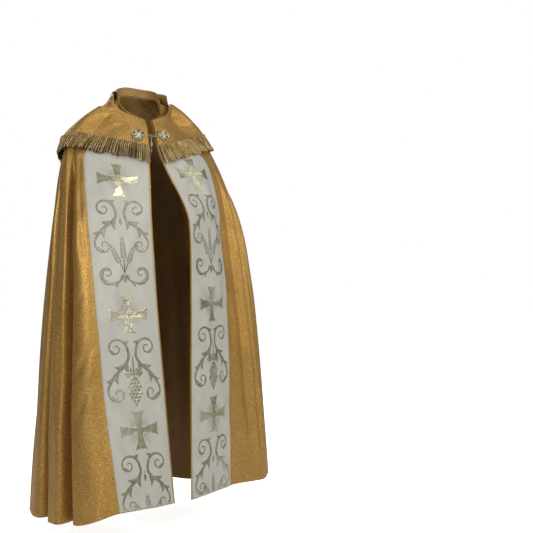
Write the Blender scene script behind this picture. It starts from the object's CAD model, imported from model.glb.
"""The looks of a liturgical cope: gold lame cloth, white satin orphreys with foil ornament, a
bullion fringe round the hood and a cast clasp. Metres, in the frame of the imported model."""

import math
import random
from collections import namedtuple

import bpy
import numpy as np
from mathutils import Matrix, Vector


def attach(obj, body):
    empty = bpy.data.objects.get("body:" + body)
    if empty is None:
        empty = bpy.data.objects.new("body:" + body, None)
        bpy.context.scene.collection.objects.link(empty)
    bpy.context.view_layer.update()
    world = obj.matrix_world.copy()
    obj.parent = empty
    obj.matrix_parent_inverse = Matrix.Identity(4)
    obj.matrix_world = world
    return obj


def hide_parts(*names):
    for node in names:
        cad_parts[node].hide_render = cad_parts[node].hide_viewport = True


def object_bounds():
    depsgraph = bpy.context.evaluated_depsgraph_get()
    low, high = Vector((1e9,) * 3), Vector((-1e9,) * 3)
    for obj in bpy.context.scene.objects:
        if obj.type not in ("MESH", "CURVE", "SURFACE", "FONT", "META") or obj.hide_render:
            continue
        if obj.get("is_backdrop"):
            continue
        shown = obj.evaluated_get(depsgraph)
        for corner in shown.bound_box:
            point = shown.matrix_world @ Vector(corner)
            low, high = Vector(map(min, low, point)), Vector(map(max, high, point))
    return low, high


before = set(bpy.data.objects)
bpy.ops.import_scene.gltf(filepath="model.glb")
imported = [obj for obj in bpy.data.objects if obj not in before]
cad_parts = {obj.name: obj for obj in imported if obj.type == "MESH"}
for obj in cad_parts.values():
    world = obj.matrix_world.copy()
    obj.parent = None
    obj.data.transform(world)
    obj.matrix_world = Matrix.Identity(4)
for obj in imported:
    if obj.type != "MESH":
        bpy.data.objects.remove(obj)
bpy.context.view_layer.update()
random.seed(11)

# ---------------------------------------------------------------- sizes
CLOTH = 0.0011  # thickness the shell of gold cloth shows
CAD_CLOTH, CAD_ORPHREY = 0.0020, 0.0012
SATIN_THICK = 0.0009
GAP = 0.0003
ORPHREY_WIDTH = 0.200
ORPHREY_SET_IN = 0.0046
HOOD_BAND_WIDTH = 0.200
HOOD_STAND_OFF = 0.0065
HOOD_SHOULDER_LIFT = 0.0056
HOOD_EDGE_SET_IN = 0.001
HEADER_WIDTH = 0.009
FRINGE_DROP = 0.050
HOOD_FRONT_Z, HOOD_POINT_Z = -0.163, -0.299
HOOD_SIDE_Z_R, HOOD_SIDE_Z_L = -0.111, -0.090
HOOD_SIDE_X_R, HOOD_SIDE_X_L = 0.250, 0.256
HOOD_START = 0.055
COLLAR_START = 0.030
COLLAR_HEIGHT = 0.028
RIGHT_BACK_SQUARE = 0.40
SEAM_R, SEAM_L = 0.27499, 0.69606  # side seams, as shares of the way round the body
SEAM_HALF_GAP = 0.00025
FLOOR_Z = -1.325

NeckEdge = namedtuple("NeckEdge", "way off_r off_l rise_r rise_l")
NECK_EDGE = (
    NeckEdge(0.00, 0.0045, 0.0045, 0.001, 0.001),
    NeckEdge(0.32, 0.0080, 0.0220, 0.003, 0.008),
    NeckEdge(0.52, 0.0170, 0.0350, 0.018, 0.026),
    NeckEdge(0.75, 0.0110, 0.0240, 0.020, 0.024),
    NeckEdge(1.00, 0.0140, 0.0140, 0.028, 0.028),
)

Plan = namedtuple(
    "Plan",
    "name down edge_rx edge_ry turn_r edge_lx edge_ly turn_l band bow"
    " half_r side_y_r half_l side_y_l back",
)
PLANS = (
    Plan("neck", 0.00, -0.012, -0.075, 40, 0.010, -0.075, 40, 0.080, 30, 0.062, 0.004, 0.072, 0.000, 0.066),
    Plan("slope", 0.05, -0.014, -0.092, 38, 0.008, -0.092, 38, 0.112, 26, 0.114, 0.010, 0.118, 0.008, 0.092),
    Plan("shoulder", 0.10, -0.017, -0.107, 35, 0.006, -0.107, 34, 0.148, 22, 0.176, 0.012, 0.182, 0.010, 0.118),
    Plan("arm", 0.15, -0.022, -0.122, 31, 0.008, -0.124, 25, 0.176, 16, 0.222, 0.010, 0.232, 0.006, 0.138),
    Plan("chest", 0.21, -0.030, -0.146, 20, 0.018, -0.152, 18, 0.200, 12, 0.246, -0.010, 0.264, -0.026, 0.152),
    Plan("elbow", 0.345, -0.044, -0.188, 6, 0.060, -0.228, 31, 0.200, 8, 0.286, -0.052, 0.334, -0.080, 0.174),
    Plan("hip", 0.505, -0.048, -0.225, 0, 0.052, -0.250, 26, 0.200, 6, 0.308, -0.072, 0.370, -0.095, 0.192),
    Plan("knee", 0.735, -0.042, -0.265, -3, 0.037, -0.275, 22, 0.200, 6, 0.328, -0.088, 0.398, -0.104, 0.218),
    Plan("hem", 1.00, -0.030, -0.300, -12, 0.025, -0.300, 22, 0.200, 6, 0.346, -0.100, 0.422, -0.112, 0.246),
)

Level = namedtuple("Level", "name edge_r band_r turn_r side_r corner_r back corner_l side_l turn_l band_l edge_l")
LEVELS = (
    Level("neck", -0.064, -0.028, -0.010, 0.004, 0.022, 0.034, 0.028, 0.010, -0.004, -0.026, -0.064),
    Level("slope", -0.090, -0.050, -0.034, -0.025, -0.023, 0.000, 0.000, 0.003, -0.011, -0.042, -0.090),
    Level("shoulder", -0.122, -0.094, -0.085, -0.076, -0.075, -0.056, -0.050, -0.036, -0.052, -0.078, -0.120),
    Level("arm", -0.165, -0.142, -0.134, -0.124, -0.126, -0.122, -0.100, -0.080, -0.096, -0.122, -0.160),
    Level("chest", -0.222, -0.206, -0.196, -0.184, -0.192, -0.200, -0.178, -0.156, -0.176, -0.196, -0.216),
    Level("elbow", -0.400, -0.402, -0.404, -0.405, -0.407, -0.400, -0.394, -0.372, -0.382, -0.390, -0.392),
    Level("hip", -0.612, -0.614, -0.622, -0.630, -0.636, -0.612, -0.618, -0.592, -0.600, -0.604, -0.604),
    Level("knee", -0.900, -0.898, -0.914, -0.930, -0.936, -0.890, -0.922, -0.872, -0.886, -0.890, -0.892),
    Level("hem", -1.209, -1.202, -1.234, -1.258, -1.272, -1.197, -1.264, -1.190, -1.213, -1.205, -1.208),
)

Fold = namedtuple("Fold", "name at_top at_hem width_top width_hem depth lean start pinch")
FOLD_GROWTH = 0.24  # distance down over which a fold reaches its depth
FOLDS = (
    Fold("right front", 0.046, 0.104, 0.015, 0.026, 0.066, 0.036, 0.12, 0.32),
    Fold("right side", 0.136, 0.190, 0.014, 0.023, 0.062, 0.030, 0.10, 0.32),
    Fold("right back", 0.360, 0.345, 0.034, 0.050, 0.018, 0.010, 0.18, 0.10),
    Fold("left back", 0.610, 0.600, 0.034, 0.050, 0.018, -0.010, 0.18, 0.10),
    Fold("left side", 0.740, 0.735, 0.024, 0.038, 0.062, -0.020, 0.20, 0.42),
    Fold("left elbow", 0.860, 0.850, 0.010, 0.018, 0.034, -0.012, 0.22, 0.42),
)

# Smaller creases laid on the folds: from (m, down) to (m, down) on the cope, half width and
# height in metres, out when positive. m is -1..0 over the right band, 0..1 round the body and
# 1..2 over the left band; bend bows the line sideways, in m.
Crease = namedtuple("Crease", "name m0 down0 m1 down1 width height bend")
CREASES = (
    # right front, from the fringe down beside the orphrey
    Crease("front edge trough", 0.014, 0.16, 0.016, 0.46, 0.009, -0.0045, 0.002),
    Crease("ridge in the trough", 0.066, 0.14, 0.078, 0.42, 0.008, 0.0050, 0.000),
    Crease("upper lobe", 0.098, 0.14, 0.132, 0.98, 0.018, 0.0050, 0.004),
    Crease("lobe dent", 0.082, 0.24, 0.120, 0.80, 0.010, -0.0035, 0.002),
    Crease("bias pull a", 0.010, 0.600, 0.062, 0.700, 0.012, -0.0035, 0.004),
    Crease("bias pull b", 0.008, 0.665, 0.056, 0.780, 0.012, -0.0030, 0.004),
    Crease("bias pull c", 0.020, 0.480, 0.060, 0.560, 0.010, -0.0022, 0.003),
    Crease("outer lobe a", 0.232, 0.16, 0.236, 0.96, 0.018, 0.0045, 0.003),
    Crease("outer lobe b", 0.258, 0.40, 0.252, 1.02, 0.014, -0.0030, 0.002),
    # right back corner and back
    Crease("corner ridge r", 0.292, 0.24, 0.290, 1.02, 0.022, 0.0060, 0.003),
    Crease("corner trough r", 0.322, 0.30, 0.318, 1.02, 0.020, -0.0055, -0.003),
    Crease("back drop r1", 0.395, 0.20, 0.392, 0.75, 0.028, 0.0040, 0.006),
    Crease("back drop r2", 0.425, 0.46, 0.420, 1.02, 0.024, -0.0040, -0.004),
    Crease("back middle", 0.500, 0.26, 0.506, 0.92, 0.045, 0.0032, 0.006),
    Crease("back drop l2", 0.560, 0.42, 0.566, 1.02, 0.024, -0.0038, 0.004),
    Crease("back drop l1", 0.585, 0.22, 0.580, 0.80, 0.026, 0.0036, -0.005),
    Crease("corner trough l", 0.655, 0.28, 0.650, 1.02, 0.020, -0.0055, 0.003),
    Crease("corner ridge l", 0.682, 0.24, 0.676, 1.02, 0.022, 0.0055, -0.003),
    # left side, over the bent arm
    Crease("arm ridge", 0.780, 0.18, 0.776, 1.00, 0.016, 0.0050, 0.003),
    Crease("arm trough", 0.808, 0.20, 0.806, 0.92, 0.014, -0.0055, -0.003),
    Crease("arm ridge 2", 0.832, 0.22, 0.826, 0.96, 0.012, 0.0040, 0.002),
    Crease("edge ridge l", 0.902, 0.24, 0.900, 1.02, 0.016, 0.0040, 0.003),
    Crease("side pull line", 0.947, 0.17, 0.909, 1.04, 0.0080, 0.0085, 0.006),
    Crease("beside the line", 0.963, 0.20, 0.929, 1.02, 0.0150, -0.0090, 0.006),
    Crease("outer line", 0.927, 0.40, 0.894, 1.04, 0.0070, 0.0060, 0.002),
    Crease("edge trough l", 0.942, 0.20, 0.940, 0.74, 0.014, -0.0045, 0.004),
    Crease("elbow pull a", 0.880, 0.300, 0.960, 0.250, 0.014, -0.0014, 0.004),
    Crease("elbow pull b", 0.890, 0.380, 0.965, 0.345, 0.014, -0.0012, 0.004),
    # the orphreys
    Crease("band r soft", -0.62, 0.24, -0.55, 0.62, 0.040, -0.0022, 0.060),
    Crease("band r low", -0.30, 0.55, -0.42, 0.98, 0.045, 0.0020, 0.050),
    Crease("band r edge", -0.08, 0.30, -0.06, 0.70, 0.020, 0.0016, 0.000),
    Crease("band l ridge", 1.36, 0.10, 1.27, 0.62, 0.060, 0.0078, -0.020),
    Crease("band l ridge line", 1.36, 0.12, 1.27, 0.60, 0.016, 0.0022, -0.020),
    Crease("band l fall", 1.14, 0.20, 1.10, 0.58, 0.024, -0.0030, 0.030),
    Crease("band l low", 1.62, 0.50, 1.50, 0.98, 0.045, 0.0022, 0.050),
)

# Long shallow waves everywhere: wavelengths round and down the cloth, phase and height.
Wave = namedtuple("Wave", "round_m down_m phase height")
WAVES = (
    Wave(0.173, 2.6, 0.7, 0.0012),
    Wave(0.091, 1.9, 2.1, 0.0008),
    Wave(0.057, 1.4, 4.4, 0.0004),
    Wave(0.262, 1.7, 1.3, 0.0008),
)


def smooth(xs, ys, x):
    """Monotone cubic through (xs, ys), so that a section never overshoots its neighbours."""
    xs, ys, x = (np.asarray(a, float) for a in (xs, ys, x))
    h, d = np.diff(xs), np.diff(ys) / np.diff(xs)
    m = np.concatenate([[d[0]], (d[1:] + d[:-1]) / 2, [d[-1]]])
    inner = d[1:] * d[:-1] > 0
    w1, w2 = 2 * h[1:] + h[:-1], h[1:] + 2 * h[:-1]
    both = np.where(inner, d[1:] * d[:-1], 1.0)
    m[1:-1] = np.where(inner, (w1 + w2) * both / np.where(inner, w1 * d[1:] + w2 * d[:-1], 1.0), 0.0)
    k = np.clip(np.searchsorted(xs, x, side="right") - 1, 0, len(h) - 1)
    t = (x - xs[k]) / h[k]
    return (
        (1 + 2 * t) * (1 - t) ** 2 * ys[k]
        + t * (1 - t) ** 2 * h[k] * m[k]
        + t * t * (3 - 2 * t) * ys[k + 1]
        + t * t * (t - 1) * h[k] * m[k + 1]
    )


def ease(x):
    x = np.clip(x, 0.0, 1.0)
    return x * x * (3 - 2 * x)


class Ring:
    """One level line of the cope, from its right front edge round the back to its left one."""

    STEPS = 48

    def __init__(self, down):
        downs = [p.down for p in PLANS]
        at = {f: float(smooth(downs, [getattr(p, f) for p in PLANS], down)) for f in Plan._fields[2:]}
        heights = [float(smooth(downs, [getattr(row, f) for row in LEVELS], down)) for f in Level._fields[1:]]
        self.down = down
        bow = math.radians(at["bow"])
        tr, tl = math.radians(at["turn_r"]), math.radians(at["turn_l"])
        edge_r = np.array([at["edge_rx"], at["edge_ry"]])
        edge_l = np.array([at["edge_lx"], at["edge_ly"]])
        knots = (
            (edge_r, (-math.cos(tr - bow), math.sin(tr - bow))),
            (edge_r + at["band"] * np.array([-math.cos(tr), math.sin(tr)]), (-math.cos(tr + bow), math.sin(tr + bow))),
            (np.array([-at["half_r"], at["side_y_r"]]), (0.0, 1.0)),
            (np.array([0.0, at["back"]]), (1.0, 0.0)),
            (np.array([at["half_l"], at["side_y_l"]]), (0.0, -1.0)),
            (edge_l + at["band"] * np.array([math.cos(tl), math.sin(tl)]), (-math.cos(tl + bow), -math.sin(tl + bow))),
            (edge_l, (-math.cos(tl - bow), -math.sin(tl - bow))),
        )
        pieces = []
        for k, ((p0, t0), (p1, t1)) in enumerate(zip(knots, knots[1:])):
            chord = np.linalg.norm(p1 - p0)
            turn = math.acos(max(-1.0, min(1.0, float(np.dot(t0, t1)))))
            pull = chord / math.cos(turn / 4) ** 2
            if k == 2:
                pull *= 1 + RIGHT_BACK_SQUARE * down
            t = np.linspace(0, 1, self.STEPS + 1)[:-1, None]
            pieces.append(
                (1 + 2 * t) * (1 - t) ** 2 * p0
                + t * (1 - t) ** 2 * pull * np.array(t0)
                + t * t * (3 - 2 * t) * p1
                + t * t * (t - 1) * pull * np.array(t1)
            )
        self.line = np.concatenate(pieces + [knots[-1][0][None]])
        self.arc = np.concatenate([[0.0], np.cumsum(np.linalg.norm(np.diff(self.line, axis=0), axis=1))])
        marks = self.arc[:: self.STEPS]
        self.band_r, self.side_r, self.back, self.side_l, self.band_l, self.length = marks[1:]
        self.stations = (
            0.0, self.band_r, self.band_r + 0.4 * (self.side_r - self.band_r), self.side_r,
            (self.side_r + self.back) / 2, self.back, (self.back + self.side_l) / 2, self.side_l,
            self.side_l + 0.35 * (self.band_l - self.side_l), self.band_l, self.length,
        )
        self.heights = heights

    def along(self, m):
        m = np.asarray(m, float)
        body = self.band_r + m * (self.band_l - self.band_r)
        return np.where(
            m < 0, (m + 1) * self.band_r, np.where(m > 1, self.band_l + (m - 1) * (self.length - self.band_l), body)
        )

    def relief(self, s):
        """Height of the creases and waves laid on the folds, at arc lengths s."""
        v, out = self.down, np.zeros(np.shape(s))
        for c in CREASES:
            t = (v - c.down0) / (c.down1 - c.down0)
            if not 0 < t < 1:
                continue
            if abs(c.down1 - c.down0) < 0.15:  # a slanting pull, wide across and short down
                fade = math.sin(math.pi * t) ** 0.8
            else:
                fade = float(ease(t / 0.22) * ease((1 - t) / 0.30))
            at = self.along(c.m0 + (c.m1 - c.m0) * t + c.bend * math.sin(math.pi * t))
            x = (s - at) / c.width
            out = out + c.height * fade * np.exp(-x * x)
        fall = float(ease((v - 0.12) / 0.2))
        middle = s - self.length / 2
        edge = ease(np.minimum(s, self.length - s) / 0.05)
        for w in WAVES:
            out = out + fall * edge * w.height * np.sin(
                2 * math.pi * middle / w.round_m + w.phase + 1.3 * math.sin(2 * math.pi * v * 1.25 / w.down_m + w.phase)
            )
        return out

    def points(self, s, stand_off=0.0, detail=True, folded=True):
        """Points at arc lengths s, with the folds in them."""
        s = np.asarray(s, float)
        xy = np.stack([np.interp(s, self.arc, self.line[:, k]) for k in (0, 1)], -1)
        ahead = np.stack([np.interp(np.minimum(s + 0.002, self.length), self.arc, self.line[:, k]) for k in (0, 1)], -1)
        behind = np.stack([np.interp(np.maximum(s - 0.002, 0), self.arc, self.line[:, k]) for k in (0, 1)], -1)
        tangent = ahead - behind
        tangent /= np.linalg.norm(tangent, axis=-1, keepdims=True)
        outward = np.stack([-tangent[..., 1], tangent[..., 0]], -1)
        push, slide = np.full(s.shape, float(stand_off)), np.zeros(s.shape)
        for fold in FOLDS:
            grown = float(ease((self.down - fold.start) / FOLD_GROWTH)) if folded else 0.0
            if grown <= 0:
                continue
            k = (self.down - fold.start) / (1 - fold.start)
            at = self.along(fold.at_top + (fold.at_hem - fold.at_top) * k)
            width = fold.width_top + (fold.width_hem - fold.width_top) * k
            x = (s - at) / width
            depth = fold.depth * grown * (0.72 + 0.28 * k)
            push = push - depth * np.exp(-x * x)
            slide = slide + fold.lean * grown * (0.72 + 0.28 * k) * np.exp(-x * x)
            slide = slide - fold.pinch * grown * width * x * np.exp(-x * x / 2)
        if detail:
            push = push + self.relief(s)
        xy = xy + outward * push[..., None] + tangent * slide[..., None]
        return np.concatenate([xy, smooth(self.stations, self.heights, s)[..., None]], -1)


RINGS = {}


def ring(down):
    key = round(float(down), 5)
    if key not in RINGS:
        RINGS[key] = Ring(key)
    return RINGS[key]


def normals(grid):
    """Outward unit normals of a grid of points (rows down, columns round)."""
    along, down = np.gradient(grid, axis=1), np.gradient(grid, axis=0)
    n = np.cross(along, down)
    return n / np.maximum(np.linalg.norm(n, axis=-1, keepdims=True), 1e-12)


def lengths_down(grid):
    """Length down each column of a grid, from its first row."""
    steps = np.linalg.norm(np.diff(grid, axis=0), axis=-1)
    return np.concatenate([np.zeros((1, grid.shape[1])), np.cumsum(steps, axis=0)])


def lengths_round(grid):
    steps = np.linalg.norm(np.diff(grid, axis=1), axis=-1)
    return np.concatenate([np.zeros((grid.shape[0], 1)), np.cumsum(steps, axis=1)], axis=1)


# ---------------------------------------------------------------- mesh helpers


def link(obj):
    bpy.context.scene.collection.objects.link(obj)
    return obj


def mesh_piece(name, vertices, faces, materials, uv=None, face_material=None, smooth_faces=True):
    """A piece from numpy arrays. faces is an (n, 3) or (n, 4) array; uv holds one value a vertex."""
    mesh = bpy.data.meshes.new(name)
    vertices = np.ascontiguousarray(vertices, np.float32).reshape(-1, 3)
    faces = np.ascontiguousarray(faces, np.int32)
    count, corners = faces.shape
    mesh.vertices.add(len(vertices))
    mesh.vertices.foreach_set("co", vertices.ravel())
    mesh.loops.add(count * corners)
    mesh.loops.foreach_set("vertex_index", faces.ravel())
    mesh.polygons.add(count)
    mesh.polygons.foreach_set("loop_start", np.arange(0, count * corners, corners, dtype=np.int32))
    mesh.polygons.foreach_set("loop_total", np.full(count, corners, np.int32))
    for m in materials:
        mesh.materials.append(m)
    if face_material is not None:
        mesh.polygons.foreach_set("material_index", np.ascontiguousarray(face_material, np.int32))
    mesh.polygons.foreach_set("use_smooth", np.full(count, smooth_faces, bool))
    for layer_name, values in (uv or {}).items():
        layer = mesh.uv_layers.new(name=layer_name)
        layer.data.foreach_set("uv", np.ascontiguousarray(np.asarray(values, np.float32)[faces.ravel()]).ravel())
    mesh.update(calc_edges=True)
    mesh.validate()
    return link(bpy.data.objects.new(name, mesh))


def grid_faces(rows, columns, start=0, flip=False):
    index = start + np.arange(rows * columns).reshape(rows, columns)
    a, b, c, d = index[:-1, :-1], index[:-1, 1:], index[1:, 1:], index[1:, :-1]
    quads = np.stack([a, b, c, d] if not flip else [a, d, c, b], -1)
    return quads.reshape(-1, 4)


def shell(name, outer, inner, materials, uv_metres, inner_slot=0, facing=None, facing_slot=0):
    """A wall between two grids of points, with its rim. facing marks columns whose inner face
    takes another material."""
    rows, columns = outer.shape[:2]
    total = rows * columns
    index = np.arange(total).reshape(rows, columns)
    loop = np.concatenate([index[0, :], index[1:, -1], index[-1, -2::-1], index[-2:0:-1, 0]])
    nxt = np.roll(loop, -1)
    rim = np.stack([nxt, loop, loop + total, nxt + total], -1)
    face_sets = [grid_faces(rows, columns), grid_faces(rows, columns, total, True), rim]
    slots = [np.zeros(len(face_sets[0]), int), np.full(len(face_sets[1]), inner_slot), np.zeros(len(rim), int)]
    if facing is not None:
        per_column = np.where(facing[:-1] & facing[1:], facing_slot, inner_slot)
        slots[1] = np.tile(per_column, rows - 1)
    span = uv_metres.reshape(-1, 2)
    low, high = span.min(0), span.max(0)
    unit = (span - low) / (high - low).max()
    width = unit[:, 0].max()
    pair = np.concatenate([unit, unit + [width + 0.01, 0]]) / max(1.0, 2 * width + 0.01)
    metres = np.concatenate([span, span])
    return mesh_piece(
        name,
        np.concatenate([outer.reshape(-1, 3), inner.reshape(-1, 3)]),
        np.concatenate(face_sets),
        materials,
        {"Cloth": metres, "OFBake": pair},
        np.concatenate(slots),
    )


# ---------------------------------------------------------------- materials


class Nodes:
    """A material's node tree, built by short calls."""

    def __init__(self, name):
        self.material = bpy.data.materials.new(name)
        self.material.use_nodes = True
        self.tree = self.material.node_tree
        self.shader = self.tree.nodes["Principled BSDF"]

    def set(self, **values):
        for key, value in values.items():
            socket = self.shader.inputs[key.replace("_", " ")]
            socket.default_value = (*value, 1.0) if isinstance(value, tuple) and len(value) == 3 else value
        return self

    def node(self, kind, **inputs):
        made = self.tree.nodes.new(kind)
        for key, value in inputs.items():
            if key.startswith("_"):
                setattr(made, key[1:], value)
                continue
            socket = made.inputs[int(key[2:])] if key.startswith("in") and key[2:].isdigit() else made.inputs[key.replace("_", " ")]
            if isinstance(value, bpy.types.NodeSocket):
                self.tree.links.new(value, socket)
            else:
                socket.default_value = (*value, 1.0) if isinstance(value, tuple) and len(socket.default_value) == 4 and len(value) == 3 else value
        return made

    def join(self, source, target):
        self.tree.links.new(source, self.shader.inputs[target])

    def uv(self, layer="Cloth"):
        return self.node("ShaderNodeUVMap", _uv_map=layer).outputs["UV"]

    def place(self):
        return self.node("ShaderNodeTexCoord").outputs["Object"]

    def scaled(self, vector, x, y, z=1.0, turn=0.0):
        made = self.node("ShaderNodeMapping", Vector=vector)
        made.inputs["Scale"].default_value = (x, y, z)
        made.inputs["Rotation"].default_value = (0, 0, turn)
        return made.outputs["Vector"]

    def noise(self, vector, scale, detail=3.0, roughness=0.55, distortion=0.0):
        return self.node(
            "ShaderNodeTexNoise", Vector=vector, Scale=scale, Detail=detail, Roughness=roughness, Distortion=distortion
        ).outputs["Fac"]

    def wave(self, vector, scale, distortion=0.0, direction="X", profile="SIN"):
        return self.node(
            "ShaderNodeTexWave", Vector=vector, Scale=scale, Distortion=distortion, _bands_direction=direction, _wave_profile=profile
        ).outputs["Fac"]

    def math(self, operation, a, b=0.5, c=0.0):
        return self.node("ShaderNodeMath", _operation=operation, in0=a, in1=b, in2=c).outputs[0]

    def ramp(self, factor, stops):
        made = self.node("ShaderNodeValToRGB", Fac=factor)
        elements = made.color_ramp.elements
        while len(elements) < len(stops):
            elements.new(0.5)
        for element, (at, colour) in zip(elements, stops):
            element.position = at
            element.color = (*colour, 1.0) if len(colour) == 3 else (colour[0],) * 3 + (1.0,)
        return made.outputs["Color"]

    def mix(self, factor, a, b, blend="MIX"):
        made = self.tree.nodes.new("ShaderNodeMix")
        made.data_type = "RGBA"
        made.blend_type = blend
        for socket, value in ((made.inputs[0], factor), (made.inputs[6], a), (made.inputs[7], b)):
            if isinstance(value, bpy.types.NodeSocket):
                self.tree.links.new(value, socket)
            else:
                socket.default_value = (*value, 1.0) if isinstance(value, tuple) else value
        return made.outputs[2]

    def span(self, value, low, high):
        """value from 0..1 to low..high."""
        return self.math("MULTIPLY_ADD", value, high - low, low)

    def bump(self, height, strength, distance, normal=None):
        made = self.node("ShaderNodeBump", Height=height, Strength=strength, Distance=distance)
        if normal is not None:
            self.tree.links.new(normal, made.inputs["Normal"])
        return made.outputs["Normal"]


def gold_lame(name, light, dark, glint, roughness, metallic, sparkle=1.0):
    """Gold cloth: fine crosswise weave of flat metal thread, which glints in small flecks."""
    n = Nodes(name)
    uv, place = n.uv(), n.place()
    threads = n.noise(n.scaled(uv, 900, 260), 1.0, 2.0, 0.6)
    flecks = n.noise(place, 520.0, 1.0, 0.5)
    cloud = n.noise(place, 170.0, 2.0, 0.6)
    broad = n.noise(n.scaled(uv, 7, 4), 1.0, 2.0, 0.5)
    grain = n.math("ADD", n.math("MULTIPLY", threads, 0.40), n.math("MULTIPLY", flecks, 0.60))
    grain = n.math("ADD", n.math("MULTIPLY", grain, 0.8), n.math("MULTIPLY", cloud, 0.2))
    base = n.ramp(grain, ((0.30, dark), (0.50, light), (0.68, glint)))
    tone = n.ramp(broad, ((0.3, (0.90, 0.88, 0.86)), (0.7, (1.06, 1.05, 1.04))))
    n.join(n.mix(1.0, base, tone, "MULTIPLY"), "Base Color")
    n.join(n.span(flecks, roughness + 0.12 * sparkle, roughness - 0.12 * sparkle), "Roughness")
    n.join(n.span(n.ramp(flecks, ((0.40, (0.0,)), (0.66, (1.0,)))), metallic - 0.18 * sparkle, metallic + 0.25 * sparkle), "Metallic")
    ribs = n.wave(n.scaled(uv, 1, 1), 210.0, 0.6, "Y")
    first = n.bump(ribs, 0.10, 0.0004)
    n.join(n.bump(grain, 0.30 * sparkle, 0.0008, first), "Normal")
    n.set(Sheen_Weight=0.12, Sheen_Roughness=0.5, Sheen_Tint=(0.9, 0.7, 0.4))
    return n.material


def satin(name, light, dark, roughness):
    """White satin: long floats down the band, over a fine crosswise rib."""
    n = Nodes(name)
    uv = n.uv()
    floats = n.noise(n.scaled(uv, 1400, 90), 1.0, 2.0, 0.55)
    cloud = n.noise(n.scaled(uv, 30, 18), 1.0, 3.0, 0.55)
    mixed = n.math("ADD", n.math("MULTIPLY", floats, 0.45), n.math("MULTIPLY", cloud, 0.55))
    n.join(n.ramp(mixed, ((0.34, dark), (0.62, light))), "Base Color")
    n.join(n.span(floats, roughness - 0.10, roughness + 0.12), "Roughness")
    rib = n.wave(n.scaled(uv, 1, 1), 330.0, 0.4, "Y")
    first = n.bump(rib, 0.10, 0.0002)
    n.join(n.bump(floats, 0.16, 0.0003, first), "Normal")
    n.set(Sheen_Weight=0.25, Sheen_Roughness=0.4, Metallic=0.0)
    return n.material


def foil(name, light, dark, roughness, rubbed, metallic, worn_from):
    """Pale gold foil, crinkled, that mirrors the room in patches; rubbed is its colour where it is worn bright."""
    n = Nodes(name)
    place = n.place()
    crinkle = n.noise(place, 95.0, 3.0, 0.6, 0.4)
    fine = n.noise(place, 620.0, 2.0, 0.6)
    tone = n.math("ADD", n.math("MULTIPLY", crinkle, 0.65), n.math("MULTIPLY", fine, 0.35))
    worn = n.ramp(n.noise(place, 7.0, 2.0, 0.5), ((worn_from, (0.0,)), (worn_from + 0.12, (1.0,))))
    n.join(n.mix(worn, n.ramp(tone, ((0.38, dark), (0.60, light))), n.ramp(tone, ((0.30, light), (0.62, rubbed)))), "Base Color")
    n.join(n.span(fine, roughness - 0.06, roughness + 0.12), "Roughness")
    first = n.bump(crinkle, 0.55, 0.0030)
    n.join(n.bump(fine, 0.20, 0.0005, first), "Normal")
    n.set(Metallic=metallic)
    return n.material


def bullion(name, light, dark, shine):
    """Twisted metal thread: bright on the crests of the twist, dark between the strands."""
    n = Nodes(name)
    place = n.place()
    speck = n.noise(n.scaled(place, 1, 1, 0.35), 700.0, 2.0, 0.6)
    patch = n.noise(place, 34.0, 2.0, 0.5)
    tone = n.math("ADD", n.math("MULTIPLY", speck, 0.6), n.math("MULTIPLY", patch, 0.4))
    n.join(n.ramp(tone, ((0.34, dark), (0.50, light), (0.68, shine))), "Base Color")
    n.join(n.span(speck, 0.50, 0.28), "Roughness")
    n.join(n.bump(speck, 0.4, 0.0006), "Normal")
    n.set(Metallic=0.75)
    return n.material


def cast_metal(name, low=(0.38, 0.34, 0.20), middle=(0.54, 0.50, 0.33), high=(0.68, 0.65, 0.48)):
    """Cast pale brass, stained in patches."""
    n = Nodes(name)
    place = n.place()
    grain = n.noise(place, 900.0, 3.0, 0.6)
    stain = n.noise(place, 160.0, 3.0, 0.6)
    n.join(n.ramp(stain, ((0.32, low), (0.50, middle), (0.70, high))), "Base Color")
    n.join(n.span(grain, 0.26, 0.46), "Roughness")
    n.join(n.bump(grain, 0.18, 0.0003), "Normal")
    n.set(Metallic=0.85)
    return n.material


GOLD = gold_lame("gold lame", (0.47, 0.265, 0.058), (0.26, 0.12, 0.018), (0.88, 0.64, 0.27), 0.54, 0.76)
LINING = gold_lame("gold lining", (0.34, 0.19, 0.05), (0.22, 0.11, 0.03), (0.46, 0.28, 0.10), 0.55, 0.10, 0.4)
SATIN = satin("white satin", (0.535, 0.525, 0.465), (0.455, 0.445, 0.39), 0.44)
FACING = satin("facing satin", (0.42, 0.41, 0.385), (0.35, 0.34, 0.32), 0.50)
FOIL = foil("pale gold foil", (0.50, 0.47, 0.335), (0.33, 0.31, 0.21), 0.33, (0.62, 0.58, 0.42), 0.80, 0.50)
FOIL_GROOVE = foil("pale gold foil groove", (0.37, 0.35, 0.25), (0.22, 0.205, 0.14), 0.44, (0.56, 0.52, 0.36), 0.55, 0.53)
FOIL_LINE = foil("pale gold foil line", (0.155, 0.145, 0.092), (0.09, 0.083, 0.052), 0.48, (0.33, 0.30, 0.185), 0.35, 0.56)
BULLION = bullion("bullion", (0.46, 0.31, 0.11), (0.16, 0.09, 0.03), (0.86, 0.68, 0.36))
BULLION_DEEP = bullion("bullion behind", (0.13, 0.075, 0.022), (0.05, 0.028, 0.008), (0.24, 0.16, 0.06))
BULLION_SHADE = bullion("bullion shade", (0.38, 0.25, 0.09), (0.14, 0.08, 0.026), (0.70, 0.53, 0.27))
BULLION_BRIGHT = bullion("bullion bright", (0.55, 0.40, 0.17), (0.22, 0.13, 0.05), (0.94, 0.79, 0.48))
HEADER = bullion("bullion header", (0.40, 0.26, 0.09), (0.14, 0.08, 0.03), (0.74, 0.56, 0.28))
CAST = cast_metal("cast brass")
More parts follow.
